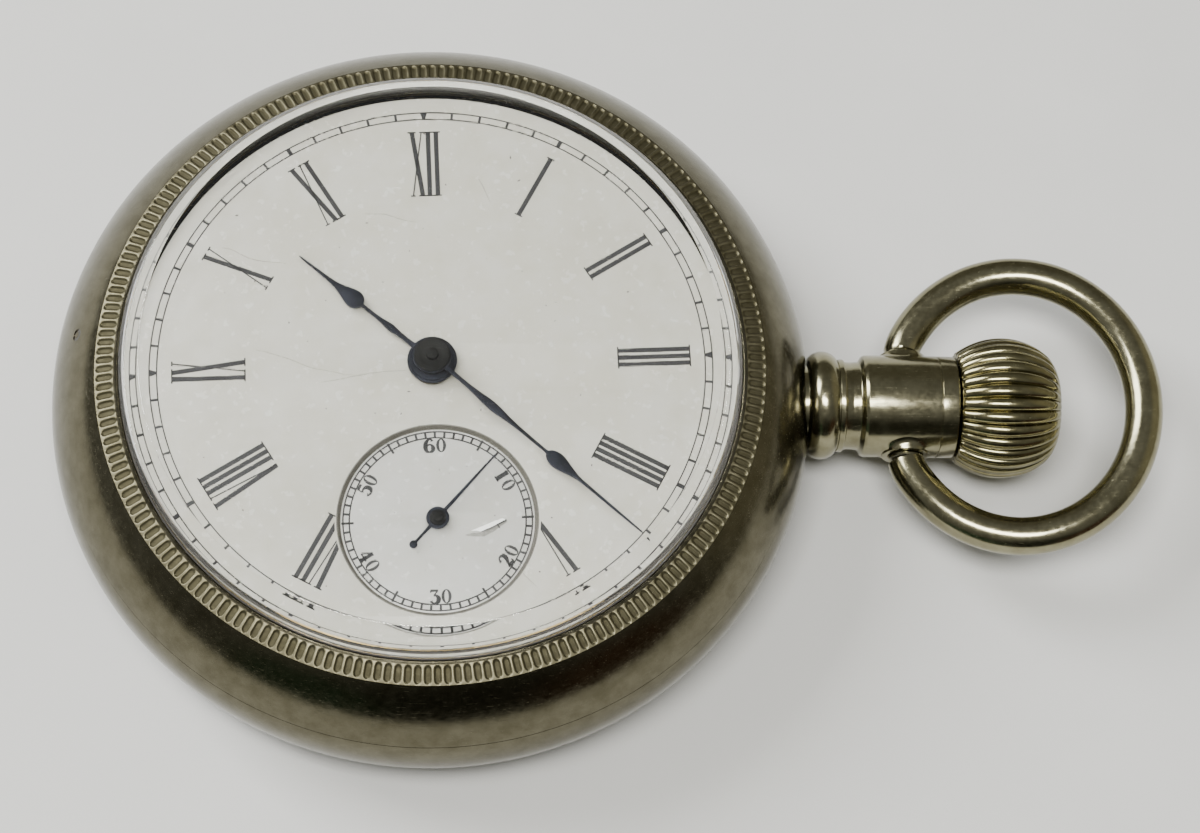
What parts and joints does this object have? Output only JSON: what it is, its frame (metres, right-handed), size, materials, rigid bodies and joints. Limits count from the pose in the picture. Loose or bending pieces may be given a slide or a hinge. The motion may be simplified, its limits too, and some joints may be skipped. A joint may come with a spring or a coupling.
{
  "type": "open face pocket watch",
  "caption": "Open face pocket watch: screw case with reeded bezel, thick crystal, enamel dial with sunk seconds, spade hands, fluted crown, bow and a full geared movement.",
  "frame": {"origin": "centre of the flat back face", "axes": "+Z out of the dial, +X out along the pendant, +Y towards the dial's 12"},
  "size_m": [0.0852, 0.058, 0.017],
  "materials": {
    "case_metal": "polished nickel silver, worn",
    "crown_metal": "worn nickel silver with a brassy tone",
    "crystal_glass": "clear mineral glass",
    "enamel": "fired white enamel",
    "copper": "plain copper",
    "blued_steel": "heat blued",
    "gilt_brass": "gilded, grained",
    "wheel_brass": "satin",
    "steel": "polished",
    "ruby": "polished jewel"
  },
  "bodies": {
    "case": {"case_center": "case_metal", "pendant": "case_metal", "pillar_plate": "gilt_brass", "top_plate": "gilt_brass", "pillars": "gilt_brass", "plate_screws": "blued_steel", "case_screws": "blued_steel", "plate_jewels": "ruby", "crown_wheel_screw": "steel", "click_stud": "steel", "click_spring": "steel", "stem_bearing": "gilt_brass", "minute_wheel_stud": "steel", "dial": "enamel", "seconds_dial": "enamel", "dial_feet": "copper", "dial_screws": "blued_steel", "balance_cock": "gilt_brass", "cock_screw": "blued_steel", "hairspring_stud": "steel", "balance_jewel": "ruby"},
    "bezel": {"bezel": "case_metal", "crystal": "crystal_glass"},
    "back_cover": {"back_cover": "case_metal"},
    "bow": {"bow": "case_metal"},
    "crown": {"crown": "crown_metal", "stem": "steel", "winding_pinion": "steel"},
    "crown_wheel": {"crown_wheel": "steel"},
    "barrel_arbor": {"barrel_arbor": "steel", "ratchet_wheel": "steel"},
    "click": {"click": "steel"},
    "barrel": {"barrel": "wheel_brass", "barrel_cover": "wheel_brass", "mainspring": "steel"},
    "center_wheel": {"center_wheel": "wheel_brass", "center_pinion": "steel", "cannon_pinion": "steel", "minute_hand": "blued_steel"},
    "third_wheel": {"third_wheel": "wheel_brass", "third_pinion": "steel"},
    "fourth_wheel": {"fourth_wheel": "wheel_brass", "fourth_pinion": "steel", "seconds_hand": "blued_steel"},
    "escape_wheel": {"escape_wheel": "steel", "escape_pinion": "steel"},
    "pallet_fork": {"pallet_fork": "steel", "pallet_stones": "ruby", "pallet_arbor": "steel"},
    "balance": {"balance_wheel": "wheel_brass", "timing_screws": "wheel_brass", "balance_staff": "steel", "roller_table": "steel", "hairspring": "blued_steel"},
    "minute_wheel": {"minute_wheel": "wheel_brass", "minute_pinion": "steel"},
    "hour_wheel": {"hour_wheel": "wheel_brass", "hour_hand": "blued_steel"},
    "regulator": {"regulator": "steel"},
    "setting_lever": {"setting_lever": "steel"}
  },
  "joints": [
    {"name": "bezel_lift", "type": "slide", "parent": "case", "child": "bezel", "axis": [0, 0, 1], "range_m": [0, 0.018]},
    {"name": "back_cover_lift", "type": "slide", "parent": "case", "child": "back_cover", "axis": [0, 0, -1], "range_m": [0, 0.018]},
    {"name": "bow_swing", "type": "hinge", "parent": "case", "child": "bow", "pos_m": [0.03635, 0, 0.00639], "axis": [0, -1, 0], "range_deg": [-96, 84]},
    {"name": "crown_turn", "type": "hinge", "parent": "case", "child": "crown", "pos_m": [0.0403, 0, 0.00639], "axis": [1, 0, 0], "continuous": true},
    {"name": "crown_wheel_turn", "type": "hinge", "parent": "case", "child": "crown_wheel", "pos_m": [0.01409, 0, 0.0083], "axis": [0, 0, 1], "continuous": true},
    {"name": "ratchet_turn", "type": "hinge", "parent": "case", "child": "barrel_arbor", "pos_m": [0.00764, 0.00764, 0.0085], "axis": [0, 0, 1], "continuous": true},
    {"name": "click_lift", "type": "hinge", "parent": "case", "child": "click", "pos_m": [0.00388, 0.0147, 0.0085], "axis": [0, 0, 1], "range_deg": [0, 6], "stiffness_Nm_per_rad": 0.000002, "springref_deg": -5.73},
    {"name": "barrel_turn", "type": "hinge", "parent": "case", "child": "barrel", "pos_m": [0.00764, 0.00764, 0.006], "axis": [0, 0, 1], "continuous": true},
    {"name": "minute_turn", "type": "hinge", "parent": "case", "child": "center_wheel", "pos_m": [0, 0, 0.0078], "axis": [0, 0, 1], "continuous": true},
    {"name": "third_turn", "type": "hinge", "parent": "case", "child": "third_wheel", "pos_m": [-0.00368, -0.00696, 0.0067], "axis": [0, 0, 1], "continuous": true},
    {"name": "seconds_turn", "type": "hinge", "parent": "case", "child": "fourth_wheel", "pos_m": [0.00065, -0.0122, 0.0055], "axis": [0, 0, 1], "continuous": true},
    {"name": "escape_turn", "type": "hinge", "parent": "case", "child": "escape_wheel", "pos_m": [0.00671, -0.01113, 0.0064], "axis": [0, 0, 1], "continuous": true},
    {"name": "pallet_rock", "type": "hinge", "parent": "case", "child": "pallet_fork", "pos_m": [0.00879, -0.00753, 0.0064], "axis": [0, 0, 1], "range_deg": [-5, 5]},
    {"name": "balance_swing", "type": "hinge", "parent": "case", "child": "balance", "pos_m": [0.01124, -0.00462, 0.0027], "axis": [0, 0, 1], "range_deg": [-220, 220], "stiffness_Nm_per_rad": 0.000013},
    {"name": "minute_wheel_turn", "type": "hinge", "parent": "case", "child": "minute_wheel", "pos_m": [-0.0052, 0.003, 0.0114], "axis": [0, 0, 1], "continuous": true},
    {"name": "hour_turn", "type": "hinge", "parent": "case", "child": "hour_wheel", "pos_m": [0, 0, 0.0118], "axis": [0, 0, 1], "continuous": true},
    {"name": "regulator_turn", "type": "hinge", "parent": "case", "child": "regulator", "pos_m": [0.01124, -0.00462, 0.0008], "axis": [0, 0, 1], "range_deg": [-12, 12]},
    {"name": "setting_lever_pull", "type": "slide", "parent": "case", "child": "setting_lever", "axis": [0.2079, 0.9781, 0], "range_m": [0, 0.0019]}
  ],
  "couplings": [
    {"joint": "crown_wheel_turn", "follows": "crown_turn", "ratio": -0.33333},
    {"joint": "ratchet_turn", "follows": "crown_turn", "ratio": 0.25926},
    {"joint": "third_turn", "follows": "seconds_turn", "ratio": -0.13333},
    {"joint": "minute_turn", "follows": "seconds_turn", "ratio": 0.016667},
    {"joint": "barrel_turn", "follows": "seconds_turn", "ratio": -0.0020833},
    {"joint": "escape_turn", "follows": "seconds_turn", "ratio": -10},
    {"joint": "minute_wheel_turn", "follows": "seconds_turn", "ratio": -0.0055556},
    {"joint": "hour_turn", "follows": "seconds_turn", "ratio": 0.0013889}
  ]
}
